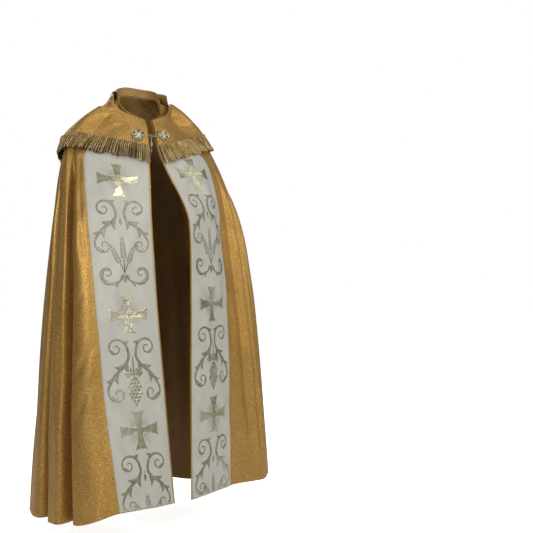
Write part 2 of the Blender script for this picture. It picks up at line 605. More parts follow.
CAST_SUNK = cast_metal("cast brass sunk", (0.13, 0.11, 0.06), (0.22, 0.19, 0.11), (0.32, 0.29, 0.18))

# ---------------------------------------------------------------- the cope
QUICK_ROWS = 230
rows = np.concatenate([np.linspace(0, 0.30, 70)[:-1], np.linspace(0.30, 1.0, QUICK_ROWS - 69)])


def between(m0, m1, count, close0=True, close1=True):
    """Columns from m0 to m1, with a few more close to a cut edge."""
    inner = list(np.linspace(m0, m1, count))
    near = (0.0008, 0.0018, 0.0034)
    if close0:
        inner += [m0 + d for d in near]
    if close1:
        inner += [m1 - d for d in near]
    return np.array(sorted(inner))


def cope_grid(columns):
    return np.array([ring(v).points(ring(v).along(columns)) for v in rows])


EDGE_COLUMNS = np.array([0.0, ORPHREY_SET_IN / ORPHREY_WIDTH * 0.5, ORPHREY_SET_IN / ORPHREY_WIDTH, 0.03, 0.05, 0.08, 0.12, 0.17, 0.22, 0.28, 0.34, 0.41, 0.48, 0.55, 0.62, 0.69, 0.76, 0.83, 0.89, 0.94, 0.975])
right_columns = np.concatenate([EDGE_COLUMNS - 1, between(0.0, SEAM_R, 78, False, True)])
back_columns = between(SEAM_R, SEAM_L, 104)
left_body = between(SEAM_L, 1.0, 86, True, False)
close_set = left_body[(left_body > 0.885) & (left_body < 0.965)]
left_body = np.sort(np.concatenate([left_body, (close_set[1:] + close_set[:-1]) / 2]))
left_columns = np.concatenate([left_body, 2 - EDGE_COLUMNS[::-1]])
all_columns = np.concatenate([right_columns, back_columns[1:], left_columns[1:]])
whole = cope_grid(all_columns)
whole_out = normals(whole)
whole_down = lengths_down(whole)
whole_round = lengths_round(whole)

# Sewn seams sink a little into a groove, and the hem has a turned edge with a stitched line.
ring_lengths = np.array([ring(v).band_l - ring(v).band_r for v in rows])[:, None]
for seam in (SEAM_R, SEAM_L):
    away = np.abs(all_columns[None, :] - seam) * ring_lengths
    whole = whole - whole_out * (0.0011 * np.exp(-((away / 0.0035) ** 2)))[..., None]


def allowance(points, direction, at, hand):
    """One more turn of cloth past a cut edge, tucked under the neighbour."""
    step = points[:, at] - points[:, at - hand]
    step /= np.linalg.norm(step, axis=-1, keepdims=True)
    under = points[:, at] - direction[:, at] * 0.0016 + step * 0.0010
    return [under, under + step * 0.0090]


def piece_of(first, last):
    i, j = int(np.argmin(np.abs(all_columns - first))), int(np.argmin(np.abs(all_columns - last)))
    outer = whole[:, i : j + 1].copy()
    direction = whole_out[:, i : j + 1]
    uv = np.stack([whole_round[:, i : j + 1], -whole_down[:, i : j + 1]], -1)
    if i > 0:
        step = outer[:, 1] - outer[:, 0]
        outer[:, 0] += step / np.linalg.norm(step, axis=-1, keepdims=True) * SEAM_HALF_GAP
    if j < len(all_columns) - 1:
        step = outer[:, -2] - outer[:, -1]
        outer[:, -1] += step / np.linalg.norm(step, axis=-1, keepdims=True) * SEAM_HALF_GAP
    inner = outer - direction * CLOTH
    columns = all_columns[i : j + 1]
    if i > 0 and j < len(all_columns) - 1:  # the back laps under both fronts
        for hand in (-1, 1):
            tuck = allowance(outer, direction, 0 if hand < 0 else -1, -1 if hand < 0 else 1)
            tuck = np.stack(tuck[::hand], 1)
            under = tuck - direction[:, :1 if hand < 0 else None][:, -1:] * CLOTH
            more = np.repeat(uv[:, :1] if hand < 0 else uv[:, -1:], 2, axis=1)
            joined = ((tuck, outer), (under, inner), (more, uv)) if hand < 0 else ((outer, tuck), (inner, under), (uv, more))
            outer, inner, uv = (np.concatenate(pair, axis=1) for pair in joined)
    return outer, inner, uv, columns


cope_pieces = {}
for name, first, last in (
    ("cope_front_right", -1.0, SEAM_R),
    ("cope_back", SEAM_R, SEAM_L),
    ("cope_front_left", SEAM_L, 2.0),
):
    outer, inner, uv, columns = piece_of(first, last)
    facing = (columns <= 0.0) | (columns >= 1.0) if name != "cope_back" else None
    obj = shell(name + "_cloth", outer, inner, [GOLD, LINING, FACING], uv, 1, facing, 2)
    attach(obj, "cope")
    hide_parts(name)
    cope_pieces[name] = obj

# ---------------------------------------------------------------- the orphreys


class Band:
    """A satin band, as a grid of its outer face that ornament is laid on. Coordinates on it are
    a, metres across from its middle towards its right-hand edge as seen, and b, metres down."""

    def __init__(self, grid, across):
        self.grid, self.across = grid, across
        self.out = normals(grid)
        middle = grid[:, int(np.argmin(np.abs(across)))]
        self.down = np.concatenate([[0.0], np.cumsum(np.linalg.norm(np.diff(middle, axis=0), axis=1))])
        self.heights = middle[:, 2]

    def down_at(self, z):
        """b where the band's middle is at the height z."""
        return float(np.interp(-z, -self.heights, self.down))

    def place(self, a, b, lift):
        """Points at (a, b), lift above the band."""
        a, b = np.asarray(a, float), np.asarray(b, float)
        i = np.clip(np.searchsorted(self.down, b) - 1, 0, len(self.down) - 2)
        j = np.clip(np.searchsorted(self.across, a) - 1, 0, len(self.across) - 2)
        ti = np.clip((b - self.down[i]) / (self.down[i + 1] - self.down[i]), -0.5, 1.5)[..., None]
        tj = np.clip((a - self.across[j]) / (self.across[j + 1] - self.across[j]), -0.5, 1.5)[..., None]

        def blend(g):
            return (g[i, j] * (1 - ti) + g[i + 1, j] * ti) * (1 - tj) + (g[i, j + 1] * (1 - ti) + g[i + 1, j + 1] * ti) * tj

        n = blend(self.out)
        n /= np.linalg.norm(n, axis=-1, keepdims=True)
        return blend(self.grid) + n * np.asarray(lift, float)[..., None]


band_share = np.linspace(ORPHREY_SET_IN / ORPHREY_WIDTH, 1.0, 45)
ORPHREY_START_IN, ORPHREY_START_OUT = 0.130, 0.100  # the hood covers the bands above


def from_start(grid, starts):
    """The grid's columns, each from its own distance down."""
    made = np.empty_like(grid)
    for k, start in enumerate(starts):
        at = start + (1 - start) * (rows - rows[0]) / (rows[-1] - rows[0])
        for axis in range(3):
            made[:, k, axis] = np.interp(at, rows, grid[:, k, axis])
    return made


bands = {}
for name, node, columns, sign in (
    ("right", "orphrey_right", band_share - 1, 1),
    ("left", "orphrey_left", 2 - band_share[::-1], -1),
):
    inwards = np.minimum(np.abs(columns + 1), np.abs(columns - 2))  # 0 at the inner edge, 1 at the outer
    starts = ORPHREY_START_IN + (ORPHREY_START_OUT - ORPHREY_START_IN) * inwards
    full = cope_grid(columns)
    full_out = normals(full)
    direction = from_start(full_out, starts)
    direction /= np.linalg.norm(direction, axis=-1, keepdims=True)
    base = from_start(full, starts)
    step = base[-2] - base[-1]
    base[-1] += step / np.linalg.norm(step, axis=-1, keepdims=True) * 0.002
    edge = np.minimum(np.arange(len(columns)), len(columns) - 1 - np.arange(len(columns)))
    roll = 0.0004 * (edge >= 1) + 0.0003 * (edge >= 2)
    outer = base + direction * (GAP + 0.0004 + roll)[None, :, None]
    inner = base + direction * GAP
    uv = np.stack([lengths_round(outer), -lengths_down(outer)], -1)
    obj = shell(node + "_satin", outer, inner, [SATIN, FACING], uv, 1)
    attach(obj, "cope")
    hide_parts(node)
    across = (columns - columns.mean()) / (columns.max() - columns.min()) * (ORPHREY_WIDTH - ORPHREY_SET_IN)
    # As seen from the front, the right band's columns run from its inner edge (image right) out.
    level_rows = slice(int(np.argmax(rows >= ORPHREY_START_OUT)), None)
    bands[name] = Band((full + full_out * (GAP + 0.0011))[level_rows], across)

# ---------------------------------------------------------------- the hood
half_columns = np.linspace(0, 1, 75)
middle_columns = np.linspace(1, 3, 49)[1:-1]
hood_columns = np.concatenate([half_columns, middle_columns, (4 - half_columns)[::-1]])


def hood_arc(level, h):
    half = HOOD_BAND_WIDTH / 2
    right = HOOD_EDGE_SET_IN + (level.back - half - HOOD_EDGE_SET_IN) * h
    middle_part = level.back + half * (h - 2)
    left = level.back + half + (level.length - HOOD_EDGE_SET_IN - level.back - half) * (h - 3)
    return np.where(h < 1, right, np.where(h > 3, left, middle_part))


def hood_edge_height(points, arcs, level):
    x = points[..., 0]
    side_x = np.where(x < 0, HOOD_SIDE_X_R, HOOD_SIDE_X_L)
    side_z = np.where(x < 0, HOOD_SIDE_Z_R, HOOD_SIDE_Z_L)
    middle_z = np.where((arcs < level.side_r) | (arcs > level.side_l), HOOD_FRONT_Z, HOOD_POINT_Z)
    return middle_z + (side_z - middle_z) * np.clip(np.abs(x) / side_x, 0, 1)


hood_downs = np.arange(0.040, 0.56, 0.004)
under, above = [], []  # the hood spans the folds, so its base has none
for v in hood_downs:
    level = ring(v)
    arcs = hood_arc(level, hood_columns)
    points = level.points(arcs, 0.0, False, False)
    under.append(points)
    above.append(points[:, 2] - hood_edge_height(points, arcs, level))
under, above = np.array(under), np.array(above)


def reach(drop):
    """How far down the cope each hood column goes to end drop below the hood's edge."""
    ends = []
    for column in (above + drop).T:
        k = int(np.argmax((column < 0) & (hood_downs > 0.06)))
        ends.append(hood_downs[k - 1] + (hood_downs[k] - hood_downs[k - 1]) * column[k - 1] / (column[k - 1] - column[k]))
    return np.array(ends)


def on_cope(downs):
    """Points of the cope under each hood column, each at its own distance down."""
    t = (np.asarray(downs) - hood_downs[0]) / (hood_downs[1] - hood_downs[0])
    k = np.clip(t.astype(int), 0, len(hood_downs) - 2)
    f = (t - k)[:, None]
    c = np.arange(len(hood_columns))
    return under[k, c] * (1 - f) + under[k + 1, c] * f


lower, header_edge = reach(0.0), reach(-HEADER_WIDTH)
HOOD_ROWS = 64
shares = np.linspace(0, 1, HOOD_ROWS)
hood_rows = [on_cope(HOOD_START + (header_edge - HOOD_START) * s) for s in shares]
hood_rows += [on_cope(header_edge + (lower - header_edge) * s) for s in (0.34, 0.67, 1.0)]
hang = [on_cope(reach(FRINGE_DROP * s)) for s in (0.2, 0.4, 0.6, 0.8, 1.0)]
under_hood = np.array(hood_rows + hang)
under_out = normals(under_hood)
shoulder = np.exp(-(((np.minimum(hood_columns, 4 - hood_columns) - 0.68) / 0.20) ** 2))
stand_off = (HOOD_STAND_OFF + HOOD_SHOULDER_LIFT * shoulder)[None, :, None]
hood = under_hood[: len(hood_rows)] + under_out[: len(hood_rows)] * stand_off
neck_level = ring(0.0)
neck_arcs = hood_arc(neck_level, hood_columns)
neck = neck_level.points(neck_arcs, 0.0, False)
neck_out = neck_level.points(neck_arcs, 0.01, False) - neck
neck_out /= np.linalg.norm(neck_out, axis=1, keepdims=True)
way = np.clip(np.minimum(neck_arcs, neck_level.length - neck_arcs) / (neck_level.length / 2), 0, 1)
ways = [n.way for n in NECK_EDGE]
on_right = neck_arcs < neck_level.back
off = np.where(on_right, smooth(ways, [n.off_r for n in NECK_EDGE], way), smooth(ways, [n.off_l for n in NECK_EDGE], way))
rise = np.where(on_right, smooth(ways, [n.rise_r for n in NECK_EDGE], way), smooth(ways, [n.rise_l for n in NECK_EDGE], way))
top = neck + neck_out * off[:, None] + np.array([0, 0, 1.0]) * rise[:, None]
first = hood[0]
lift = [top + (first - top) * t for t in (0.0, 0.2, 0.4, 0.6, 0.8)]
hood = np.concatenate([np.array(lift), hood])
NECK_ROWS = 5

# Soft drapes of the hood: from (h, share down) to (h, share down), half width in h, height.
Drape = namedtuple("Drape", "name h0 share0 h1 share1 width height")
DRAPES = (
    Drape("front right fall", 0.16, 0.10, 0.22, 1.0, 0.050, 0.0026),
    Drape("front right dip", 0.30, 0.16, 0.36, 1.0, 0.050, -0.0024),
    Drape("shoulder right dip", 0.52, 0.00, 0.56, 0.80, 0.045, -0.0026),
    Drape("shoulder right", 0.62, 0.05, 0.66, 1.0, 0.060, 0.0030),
    Drape("nape right", 0.84, 0.00, 0.80, 0.65, 0.050, -0.0028),
    Drape("back right", 0.92, 0.20, 0.90, 1.0, 0.045, 0.0018),
    Drape("back left", 3.08, 0.20, 3.10, 1.0, 0.045, 0.0018),
    Drape("nape left", 3.16, 0.00, 3.20, 0.65, 0.050, -0.0026),
    Drape("shoulder left", 3.40, 0.05, 3.36, 1.0, 0.055, 0.0030),
    Drape("shoulder left dip", 3.50, 0.00, 3.46, 0.75, 0.040, -0.0024),
    Drape("front left dip", 3.70, 0.12, 3.66, 1.0, 0.050, -0.0026),
    Drape("front left fall", 3.84, 0.10, 3.80, 1.0, 0.050, 0.0024),
    Drape("band wave", 1.80, 0.30, 1.70, 0.90, 0.200, 0.0014),
)
hood_out = normals(hood)
total_rows = len(hood)
share = np.linspace(0, 1, total_rows)[:, None]
extra = np.zeros(hood.shape[:2])
for d in DRAPES:
    t = (share - d.share0) / (d.share1 - d.share0)
    fade = ease(t / 0.3) * np.where(d.share1 >= 1.0, 1.0, ease((1 - t) / 0.3)) * (t > 0)
    at = d.h0 + (d.h1 - d.h0) * np.clip(t, 0, 1)
    extra += d.height * fade * np.exp(-(((hood_columns[None, :] - at) / d.width) ** 2))
ends = ease(np.minimum(hood_columns, 4 - hood_columns) / 0.12)[None, :]
hood = hood + hood_out * ((extra * ends) + 0.0012)[..., None]
hood_out = normals(hood)
hood_inner = hood - hood_out * CLOTH
hood_uv = np.stack([lengths_round(hood), -lengths_down(hood)], -1)
middle = int(np.argmin(np.abs(hood_columns - 2)))
band_first, band_last = int(np.argmin(np.abs(hood_columns - 1))), int(np.argmin(np.abs(hood_columns - 3)))
for name, part in (("hood_right", slice(0, middle + 1)), ("hood_left", slice(middle, None))):
    outer, inner = hood[:, part].copy(), hood_inner[:, part].copy()
    for g in (outer, inner):
        edge, step = (-1, g[:, -2] - g[:, -1]) if name == "hood_right" else (0, g[:, 1] - g[:, 0])
        g[:, edge] += step / np.linalg.norm(step, axis=-1, keepdims=True) * SEAM_HALF_GAP
    obj = shell(name + "_cloth", outer, inner, [GOLD, LINING], hood_uv[:, part], 1)
    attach(obj, "cope")
    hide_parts(name)

# The hood band lies on the hood, down to the fringe's header.
last_row = NECK_ROWS + HOOD_ROWS - 1
band_base = hood[: last_row + 1, band_first : band_last + 1].copy()
band_out = hood_out[: last_row + 1, band_first : band_last + 1]
band_outer = band_base + band_out * (GAP + SATIN_THICK)
band_inner = band_base + band_out * GAP
band_uv = np.stack([lengths_round(band_outer), -lengths_down(band_outer)], -1)
obj = shell("hood_band_satin", band_outer, band_inner, [SATIN, FACING], band_uv, 1)
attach(obj, "cope")
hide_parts("hood_band")
bands["hood"] = Band(band_outer, np.linspace(-HOOD_BAND_WIDTH / 2, HOOD_BAND_WIDTH / 2, band_last - band_first + 1))

# ---------------------------------------------------------------- the ornament
# A repeat of traditional motifs in foil, constructed in millimetres from the middle of a cross:
# a across to the right as seen, b down the band. The scrolls are spirals joined by stems, and the
# leaves grow from the stems by rule. What is on one side is mirrored on the other.
GRAPE_LENGTH = 334.0  # from one cross to the next below it

# A stroke: its points, then its width at the start, at the widest and at the end, and where along
# it is widest.
Stroke = namedtuple("Stroke", "points start widest end where")
# A leaf from its foot to its tip, bend to one side as a share of its length.
Leaf = namedtuple("Leaf", "a0 b0 a1 b1 width bend")
# A round or oval bead.
Bead = namedtuple("Bead", "a b half_a half_b")
# An ear of wheat: foot, tip, pairs of grains, size of a grain.
Ear = namedtuple("Ear", "a0 b0 a1 b1 pairs length width awns")
# A scroll: middle of its spiral, outer and inner radius, turns, the angle where it starts (0 is
# towards the edge of the band, 90 is down it) and which way it winds.
Scroll = namedtuple("Scroll", "a b outer inner turns start hand")
# A leaf on a stem: how far along, which side, length, width, degrees off the stem, bend.
Sprig = namedtuple("Sprig", "along side length width lean bend")


def spiral(s):
    t = np.linspace(0, 1, 22)
    angle = np.radians(s.start + s.hand * 360 * s.turns * t)
    r = s.outer * (s.inner / s.outer) ** t
    return np.stack([s.a + r * np.cos(angle), s.b + r * np.sin(angle)], -1)


def joined(first, second):
    """Two runs of points with a smooth stem between them."""
    p, q = first[-1], second[0]
    out, into = first[-1] - first[-2], second[1] - second[0]
    handle = 0.42 * np.linalg.norm(q - p)
    p1, q1 = p + out / np.linalg.norm(out) * handle, q - into / np.linalg.norm(into) * handle
    t = np.linspace(0, 1, 9)[1:-1, None]
    stem = p * (1 - t) ** 3 + 3 * p1 * t * (1 - t) ** 2 + 3 * q1 * t * t * (1 - t) + q * t**3
    return np.concatenate([first, stem, second])


def branch(points, widest, where, sprigs):
    """A stem as a stroke, its end bead and the leaves on it."""
    run = np.concatenate([[0.0], np.cumsum(np.linalg.norm(np.diff(points, axis=0), axis=1))])
    made = [Stroke(tuple(map(tuple, points)), 2.0, widest, 1.6, where), Bead(*points[-1], 3.2, 3.2)]
    for g in sprigs:
        at = g.along * run[-1]
        foot, ahead = (np.array([np.interp(d, run, points[:, k]) for k in (0, 1)]) for d in (at, at + 1.0))
        heading = math.atan2(*(ahead - foot)[::-1]) + g.side * math.radians(g.lean)
        tip = foot + g.length * np.array([math.cos(heading), math.sin(heading)])
        made.append(Leaf(*foot, *tip, g.width, g.bend * g.side))
    return tuple(made)


UPPER = Scroll(50, 97, 35, 7, 1.35, 180, 1)
WHEAT_CURL = Scroll(55, 207, 33, 6, 1.30, -50, 1)
WHEAT_BASE = Scroll(53, 291, 36, 6, 1.25, 130, -1)
GRAPE_CURL = Scroll(53, 225, 36, 6, 1.30, -50, 1)
STEM_SPRIGS = (
    Sprig(0.10, -1, 18, 7.8, 48, 0.16), Sprig(0.30, 1, 21, 7.8, 42, 0.16),
    Sprig(0.45, 1, 37, 10.4, 34, 0.16), Sprig(0.49, -1, 32, 9.9, 40, 0.16),
    Sprig(0.56, 1, 33, 9.9, 44, 0.18), Sprig(0.62, -1, 21, 8.1, 38, 0.14),
    Sprig(0.74, 1, 29, 9.4, 46, 0.18), Sprig(0.86, 1, 17, 7.0, 50, 0.16),
)
BASE_SPRIGS = (
    Sprig(0.16, 1, 20, 7.3, 40, 0.16), Sprig(0.34, -1, 29, 9.6, 44, 0.18),
    Sprig(0.50, -1, 32, 9.9, 44, 0.18), Sprig(0.68, -1, 20, 7.8, 46, 0.16),
)
# The sheaf: three ears from one tie.
SHEAF_TIE, SHEAF_SPREAD, SHEAF_STEM, SHEAF_EAR = 290.0, 24.0, 34.0, 50.0
# The bunch: grapes in each row, the first row, the distance of rows and of grapes in a row.
BUNCH_ROWS, BUNCH_TOP, BUNCH_PITCH, GRAPE_PITCH = (2, 3, 4, 3, 4, 3, 2, 1), 186.0, 10.2, 11.6
VINE_LEAVES = ((-17.0, 166.0, 15.0, -0.5), (17.0, 166.0, 15.0, 0.5))


def along_sheaf(degrees, distance):
    turn = math.radians(degrees)
    return distance * math.sin(turn), SHEAF_TIE - distance * math.cos(turn)


WHEAT_SIDE = (
    branch(joined(spiral(UPPER)[::-1], spiral(WHEAT_CURL)), 5.6, 0.5, STEM_SPRIGS)
    + branch(joined(np.array([(3.0, 296.0), (7.0, 303.0)]), spiral(WHEAT_BASE)), 5.4, 0.4, BASE_SPRIGS)
    + (
        Bead(*spiral(UPPER)[-1], 3.2, 3.2),
        Ear(*along_sheaf(SHEAF_SPREAD, SHEAF_STEM), *along_sheaf(SHEAF_SPREAD, SHEAF_STEM + SHEAF_EAR), 7, 9.4, 3.5, 3),
        Stroke((along_sheaf(SHEAF_SPREAD, 3), along_sheaf(SHEAF_SPREAD, SHEAF_STEM)), 1.2, 2.2, 1.2, 0.5),
        Leaf(2, SHEAF_TIE + 6, 16, SHEAF_TIE + 24, 6.0, 0.14),
    )
)
WHEAT_MIDDLE = (
    Stroke((along_sheaf(0, 3), along_sheaf(0, SHEAF_STEM + 10)), 1.4, 2.4, 1.4, 0.5),
    Ear(*along_sheaf(0, SHEAF_STEM + 10), *along_sheaf(0, SHEAF_STEM + SHEAF_EAR + 16), 8, 9.8, 3.6, 5),
    Bead(0, SHEAF_TIE, 6.4, 2.8),
    Leaf(0, SHEAF_TIE + 6, 0, SHEAF_TIE + 30, 9.0, 0.0),
    Bead(0, 118, 3.2, 3.2),
    Leaf(0, 124, 0, 146, 7.0, 0.0),
)
GRAPE_SIDE = branch(joined(spiral(UPPER)[::-1], spiral(GRAPE_CURL)), 5.8, 0.5, STEM_SPRIGS) + (
    Bead(*spiral(UPPER)[-1], 3.2, 3.2),
)
GRAPE_MIDDLE = (
    Stroke(((0, 122), (0, 150), (0, BUNCH_TOP)), 1.6, 2.8, 1.6, 0.5),
    Bead(0, 118, 3.2, 3.2),
) + tuple(
    Bead((k - (count - 1) / 2) * GRAPE_PITCH, BUNCH_TOP + row * BUNCH_PITCH, 5.4, 5.8)
    for row, count in enumerate(BUNCH_ROWS)
    for k in range(count)
)


class Foil:
    """Foil laid on a band: patches of small quads, mapped on the cloth together."""

    def __init__(self, band):
        self.band, self.points, self.lifts, self.faces, self.tones, self.count = band, [], [], [], [], 0

    def patch(self, points, lifts, tones=0):
        """A grid of points (n, k, 2) in millimetres on the band, rows along and columns across.
        tones picks the foil of each quad: 0 pale, 1 drawn line, 2 the groove between lines."""
        n, k = points.shape[:2]
        self.tones.append(np.broadcast_to(tones, (n - 1, k - 1)).ravel())
        self.points.append(points.reshape(-1, 2))
        self.lifts.append(np.broadcast_to(lifts, (n, k)).ravel())
        self.faces.append(grid_faces(n, k, self.count, True))
        self.count += n * k

    def ribbon(self, path, half, ridge=0.34, fine=False):
        """A raised strip along path with these half widths: two fine ridges with a groove
        between them, down to the satin at both edges."""
        along = np.gradient(path, axis=0)
        along /= np.maximum(np.linalg.norm(along, axis=1, keepdims=True), 1e-9)
        side = np.stack([along[:, 1], -along[:, 0]], -1)
        line = np.minimum(0.45 + 0.0 * half, half * 0.98) if fine else np.minimum(1.25, half * 0.98)
        inner = (half - line)[:, None]
        across = np.concatenate([-half[:, None], -inner, 0 * inner, inner, half[:, None]], 1)
        height = np.array([0.0, 1.0, 0.45, 1.0, 0.0]) * ridge
        points = path[:, None] + side[:, None] * across[..., None]
        self.patch(points, 0.10 + height[None, :] * np.clip(half / 1.6, 0.35, 1.0)[:, None], np.array([[1, 2, 2, 1]]))

    def stroke(self, s, mirror):
        points = np.array(s.points, float) * [mirror, 1]
        path = curve(points)
        t = np.linspace(0, 1, len(path))
        grow = np.where(t < s.where, ease(t / s.where), ease((1 - t) / (1 - s.where)))
        ends = np.where(t < s.where, s.start, s.end)
        self.ribbon(path, 0.30 + 1.36 * (ends + (s.widest - ends) * grow) / 2)

    def leaf(self, s, mirror):
        foot, tip = np.array([s.a0 * mirror, s.b0]), np.array([s.a1 * mirror, s.b1])
        length = np.linalg.norm(tip - foot)
        line = (tip - foot) / length
        side = np.array([line[1], -line[0]])
        t = np.linspace(0, 1, max(6, int(length / 2.2)))
        path = foot + (tip - foot) * t[:, None] + side * (s.bend * mirror * length * np.sin(math.pi * t))[:, None]
        self.ribbon(path, 1.22 * s.width / 2 * np.maximum(np.sin(math.pi * t**0.72) ** 0.85, 0.04), 0.42)

    def bead(self, s, mirror):
        turn = 2 * math.pi * np.arange(13) / 12
        rings = np.array([1.0, 0.72, 0.3, 0.001])[:, None]
        a = s.a * mirror + s.half_a * rings * np.sin(turn)
        b = s.b + s.half_b * rings * np.cos(turn)
        lift = 0.10 + np.array([0.0, 0.34, 0.52, 0.55])[:, None]
        self.patch(np.stack([a, b], -1)[:, ::-1], lift)

    def vine_leaf(self, a, b, radius, turn):
        t = 2 * math.pi * np.arange(41) / 40
        lobes = 0.60 + 0.40 * np.abs(np.cos(2.5 * t)) ** 0.7 + 0.05 * np.cos(15 * t)
        rings = np.array([1.0, 0.8, 0.5, 0.2, 0.001])[:, None]
        veins = 0.16 * np.cos(5 * t) * np.array([0, 1, 1, 0.5, 0])[:, None]
        points = np.stack([a + radius * rings * lobes * np.sin(t + turn), b - radius * rings * lobes * np.cos(t + turn)], -1)
        self.patch(points, 0.12 + np.array([0.0, 0.26, 0.34, 0.30, 0.30])[:, None] + veins)

    def ear(self, s, mirror):
        foot, tip = np.array([s.a0 * mirror, s.b0]), np.array([s.a1 * mirror, s.b1])
        length = np.linalg.norm(tip - foot)
        line = (tip - foot) / length
        side = np.array([line[1], -line[0]])
        self.ribbon(np.linspace(foot, tip, 20), np.full(20, 0.5), 0.2)
        for k in range(s.pairs):
            at = foot + line * length * (0.02 + 0.84 * k / (s.pairs - 1))
            size = s.length * (1.0 - 0.30 * k / s.pairs)
            for hand in (-1, 1):
                start = at + side * hand * 1.3
                end = start + line * size * 0.66 + side * hand * size * 0.75
                self.leaf(Leaf(start[0], start[1], end[0], end[1], s.width, 0.16 * hand), 1)
        self.leaf(Leaf(*(tip - line * 3), *(tip + line * 6), s.width, 0.0), 1)
        for k in range(s.awns):
            spread = (k - (s.awns - 1) / 2) * 0.16
            start = tip + line * (1 - abs(spread) * 10) + side * spread * 14
            end = start + (line + side * spread) * length * 0.26
            self.ribbon(np.linspace(start, end, 6), np.linspace(0.45, 0.2, 6), 0.12)

    def cross(self, b):
        """A cross pattee with fine rays between its arms."""
        core = 9.0
        grid = np.linspace(-1, 1, 7)
        square = np.stack(np.meshgrid(grid * core, b + grid * core * 0.9), -1)
        self.patch(square, 0.34)
        t, j = np.linspace(0, 1, 16)[:, None], np.array([-1, -0.93, -0.80, -0.72, 0.0, 0.72, 0.80, 0.93, 1.0])[None, :]
        for turn in range(4):
            reach_mm = 56.0 if turn % 2 == 0 else 64.0
            start = core * (0.9 if turn % 2 == 0 else 1.0)
            neck = core * (1.0 if turn % 2 == 0 else 0.9)
            flare = 21.5 if turn % 2 == 0 else 21.0
            half = neck + (flare - neck) * (0.16 * t + 0.84 * t**2.5)
            far = start + (reach_mm - start - 3.4 * (1 - j * j)) * t
            across = j * half
            rim = np.where(np.abs(j) > 0.76, 0.10, 0.0) * np.ones_like(t) + 0.34
            rim = rim + 0.10 * (t > 0.92)
            rim = np.where((np.abs(j) > 0.99) | (t > 0.995), 0.10, rim)
            x, y = ((across, -far), (far, across), (-across, far), (-far, -across))[turn]
            self.patch(np.stack([-x if turn % 2 else x, y + b], -1)[:, ::-1] if turn % 2 else np.stack([x, y + b], -1)[:, ::-1] if turn == 0 else np.stack([-x, y + b], -1), rim)
        for quadrant in range(4):
            for k in range(6):
                spin = math.radians(90 * quadrant + 20 + 10 * k)
                inner = 17 + 4 * abs(k - 2.5)
                outer = 50 - 5.5 * abs(k - 2.5) + (3 if k % 2 else -3)
                line = np.array([math.cos(spin), math.sin(spin)])
                r = np.linspace(inner, outer, 10)[:, None]
                self.ribbon(np.array([0, b]) + line * r, np.linspace(0.62, 0.22, 10), 0.10)

    def shift(self, s, b):
        """The same motif b further down."""
        if isinstance(s, Stroke):
            return s._replace(points=tuple((p[0], p[1] + b) for p in s.points))
        if isinstance(s, Bead):
            return s._replace(b=s.b + b)
        return s._replace(b0=s.b0 + b, b1=s.b1 + b)

    def motifs(self, side, middle, b):
        draw = {Stroke: self.stroke, Leaf: self.leaf, Bead: self.bead, Ear: self.ear}
        for s in side:
            for mirror in (1, -1):
                draw[type(s)](self.shift(s, b), mirror)
        for s in middle:
            draw[type(s)](self.shift(s, b), 1)

    def wheat(self, b):
        self.motifs(WHEAT_SIDE, WHEAT_MIDDLE, b)

    def grapes(self, b):
        self.motifs(GRAPE_SIDE, GRAPE_MIDDLE, b)
        for a, down, radius, turn in VINE_LEAVES:
            self.vine_leaf(a, b + down, radius, turn)

    def made(self, name, first, last):
        """The piece, without what falls outside first..last down the band or off its sides."""
        points, lifts, faces = np.concatenate(self.points), np.concatenate(self.lifts), np.concatenate(self.faces)
        tones = np.concatenate(self.tones)
        inside = (points[:, 1] > first) & (points[:, 1] < last) & (np.abs(points[:, 0]) < 96.5)
        whole = inside[faces].all(1)
        faces, tones = faces[whole], tones[whole]
        kept = np.unique(faces)
        renumber = np.full(len(points), -1)
        renumber[kept] = np.arange(len(kept))
        place = self.band.place(-points[kept, 0] / 1000, points[kept, 1] / 1000, lifts[kept] / 1000)
        obj = mesh_piece(name, place, renumber[faces], [FOIL, FOIL_LINE, FOIL_GROOVE], None, tones)
        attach(obj, "cope")
        return obj


def curve(points, step=1.9):
    """A smooth curve through points, at an even step in millimetres."""
    p = np.concatenate([[2 * points[0] - points[1]], points, [2 * points[-1] - points[-2]]])
    t = np.linspace(0, 1, 14)[:-1, None]
    found = []
    for p0, p1, p2, p3 in zip(p, p[1:], p[2:], p[3:]):
        found.append(
            0.5 * (2 * p1 + (p2 - p0) * t + (2 * p0 - 5 * p1 + 4 * p2 - p3) * t**2 + (3 * p1 - p0 - 3 * p2 + p3) * t**3)
        )
    found = np.concatenate(found + [points[-1:]])
    run = np.concatenate([[0.0], np.cumsum(np.linalg.norm(np.diff(found, axis=0), axis=1))])
    even = np.linspace(0, run[-1], max(4, int(run[-1] / step)))
    return np.stack([np.interp(even, run, found[:, k]) for k in (0, 1)], -1)


CROSSES = {"right": (-0.259, -0.660, -0.986), "left": (-0.230, -0.635, -0.971), "hood": (-0.118,)}
for name, band in bands.items():
    foil_work = Foil(band)
    heights = CROSSES[name]
    downs = [band.down_at(z) * 1000 for z in heights]
    for k, b in enumerate(downs):
        foil_work.cross(b)
        (foil_work.wheat if k % 2 == 0 else foil_work.grapes)(b)
    foil_work.grapes(downs[0] - GRAPE_LENGTH)
    end = band.down[-1] * 1000 - 4
    obj = foil_work.made("ornament_" + name, 12.0, end)
    print("crosses at", name, [round(b) for b in downs], "end", round(end), "faces", len(obj.data.polygons))

# ---------------------------------------------------------------- the fringe
under_hang = under_hood[len(hood_rows) - 1 :]
hang_out = under_out[len(hood_rows) - 1 :]
hang_line = under_hang + hang_out * stand_off + hang_out * 0.0012  # hood's own face carried on down
edge_top = hood[-1] + hood_out[-1] * GAP
lap_line = hood[last_row:]
lap_out = hood_out[last_row:]


